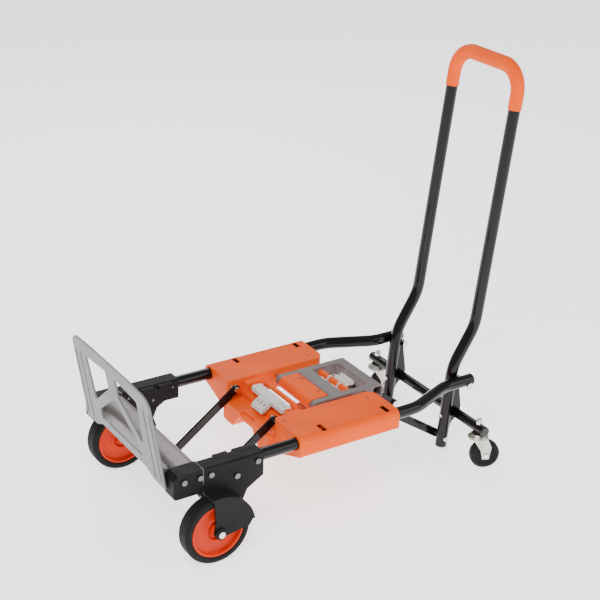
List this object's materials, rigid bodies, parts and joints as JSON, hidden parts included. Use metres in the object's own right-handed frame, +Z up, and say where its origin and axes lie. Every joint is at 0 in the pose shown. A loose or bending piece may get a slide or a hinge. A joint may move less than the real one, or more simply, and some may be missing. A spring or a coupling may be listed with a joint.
{
  "type": "folding platform cart",
  "caption": "Folding platform cart with a bent-tube push handle, a fold-down toe plate, large front wheels and swivel casters at the rear.",
  "frame": {"origin": "on the floor under the middle of the cart's overall bounding box", "axes": "+X back towards the handle, +Y to the right of the toe plate seen from the handle, +Z up"},
  "size_m": [0.9958, 0.518, 0.9577],
  "materials": {
    "tube_black": "gloss powder coat",
    "orange_shell": "fine grained",
    "bracket_black": "matte moulded",
    "lever_grey": "matte moulded",
    "plate_grey": "satin paint",
    "channel_grey": "satin paint",
    "grip_orange": "soft moulded foam-like",
    "hub_red": "satin moulded",
    "tyre_black": "matte tread",
    "caster_rubber": "matte",
    "off_white": "satin moulded",
    "cap_black": "satin moulded",
    "bright_steel": "bright plated",
    "plated_steel": "zinc plated"
  },
  "bodies": {
    "frame": {"rail_left": "tube_black", "rail_right": "tube_black", "rail_end_caps": "cap_black", "front_block_left": "bracket_black", "front_block_right": "bracket_black", "wheel_bracket_left": "bracket_black", "wheel_bracket_right": "bracket_black", "bracket_bolts": "bright_steel", "sleeve_bands": "bright_steel", "cross_channel": "channel_grey", "channel_rivets": "bright_steel", "low_cross_tube": "tube_black", "front_stay_left": "tube_black", "front_stay_right": "tube_black", "stay_bolts": "bright_steel", "housing_upper_left": "orange_shell", "housing_upper_right": "orange_shell", "housing_lower_left": "orange_shell", "housing_lower_right": "orange_shell", "cover_screws": "bright_steel", "centre_bridge": "orange_shell", "guard_bar": "orange_shell", "hinge_drum": "orange_shell", "drum_axle": "plated_steel", "carriage_track": "plated_steel", "pedal_pin": "plated_steel", "front_axles": "bright_steel", "toe_hinge_pins": "bright_steel", "pivot_bolts": "bright_steel"},
    "handle": {"handle_tube": "tube_black", "handle_grip": "grip_orange", "foot_plugs": "cap_black", "gusset_left": "tube_black", "gusset_right": "tube_black", "strut_pins": "bright_steel", "bar_bolts": "bright_steel", "caster_bar": "tube_black", "caster_bar_caps": "cap_black", "caster_races": "plated_steel", "caster_stems": "bright_steel"},
    "carriage": {"carriage": "plated_steel", "carriage_rod": "plated_steel"},
    "strut_left": {"strut_left": "tube_black"},
    "strut_right": {"strut_right": "tube_black"},
    "shifter_lever": {"shifter_lever": "lever_grey", "lever_crossbar": "orange_shell"},
    "shifter_latch": {"shifter_latch": "off_white"},
    "pedal": {"pedal": "off_white"},
    "toe_plate": {"toe_plate": "plate_grey"},
    "front_wheel_left": {"front_tyre_left": "tyre_black", "front_hub_left": "hub_red"},
    "caster_left": {"caster_fork_left": "plated_steel", "caster_axle_left": "bright_steel"},
    "caster_wheel_left": {"caster_wheel_left": "caster_rubber"},
    "front_wheel_right": {"front_tyre_right": "tyre_black", "front_hub_right": "hub_red"},
    "caster_right": {"caster_fork_right": "plated_steel", "caster_axle_right": "bright_steel"},
    "caster_wheel_right": {"caster_wheel_right": "caster_rubber"}
  },
  "joints": [
    {"name": "handle_fold", "type": "hinge", "parent": "frame", "child": "handle", "pos_m": [0.36933, 0, 0.194], "axis": [0, 1, 0], "range_deg": [0, 67]},
    {"name": "carriage_slide", "type": "slide", "parent": "frame", "child": "carriage", "axis": [1, 0, 0], "range_m": [-0.15565, 0]},
    {"name": "strut_left_swing", "type": "hinge", "parent": "handle", "child": "strut_left", "pos_m": [0.33283, -0.0885, 0.0445], "axis": [0, 1, 0], "range_deg": [-99.92, 0]},
    {"name": "strut_right_swing", "type": "hinge", "parent": "handle", "child": "strut_right", "pos_m": [0.33283, 0.0885, 0.0445], "axis": [0, 1, 0], "range_deg": [-99.92, 0]},
    {"name": "toe_plate_fold", "type": "hinge", "parent": "frame", "child": "toe_plate", "pos_m": [-0.44567, 0, 0.207], "axis": [0, 1, 0], "range_deg": [0, 99.5]},
    {"name": "shifter_lift", "type": "hinge", "parent": "frame", "child": "shifter_lever", "pos_m": [-0.01267, 0, 0.203], "axis": [0, 1, 0], "range_deg": [-35, 0]},
    {"name": "latch_press", "type": "hinge", "parent": "shifter_lever", "child": "shifter_latch", "pos_m": [0.09033, 0, 0.203], "axis": [0, 1, 0], "range_deg": [0, 12], "stiffness_Nm_per_rad": 0.5, "springref_deg": -11.46},
    {"name": "pedal_press", "type": "hinge", "parent": "frame", "child": "pedal", "pos_m": [-0.08767, 0, 0.209], "axis": [0, 1, 0], "range_deg": [-8, 0], "stiffness_Nm_per_rad": 1, "springref_deg": 11.46},
    {"name": "front_wheel_spin_left", "type": "hinge", "parent": "frame", "child": "front_wheel_left", "pos_m": [-0.36467, -0.224, 0.078], "axis": [0, 1, 0], "continuous": true},
    {"name": "caster_swivel_left", "type": "hinge", "parent": "handle", "child": "caster_left", "pos_m": [0.36683, -0.207, 0.0825], "axis": [0, 0, 1], "continuous": true},
    {"name": "caster_spin_left", "type": "hinge", "parent": "caster_left", "child": "caster_wheel_left", "pos_m": [0.38314, -0.21461, 0.036], "axis": [0.4226, 0.9063, 0], "continuous": true},
    {"name": "front_wheel_spin_right", "type": "hinge", "parent": "frame", "child": "front_wheel_right", "pos_m": [-0.36467, 0.224, 0.078], "axis": [0, 1, 0], "continuous": true},
    {"name": "caster_swivel_right", "type": "hinge", "parent": "handle", "child": "caster_right", "pos_m": [0.36683, 0.207, 0.0825], "axis": [0, 0, 1], "continuous": true},
    {"name": "caster_spin_right", "type": "hinge", "parent": "caster_right", "child": "caster_wheel_right", "pos_m": [0.38443, 0.20326, 0.036], "axis": [0.2079, 0.9781, 0], "continuous": true}
  ],
  "couplings": [
    {"joint": "carriage_slide", "follows": "handle_fold", "m_per_rad": -0.13268},
    {"joint": "strut_left_swing", "follows": "handle_fold", "ratio": -1.4883},
    {"joint": "strut_right_swing", "follows": "handle_fold", "ratio": -1.4883}
  ]
}
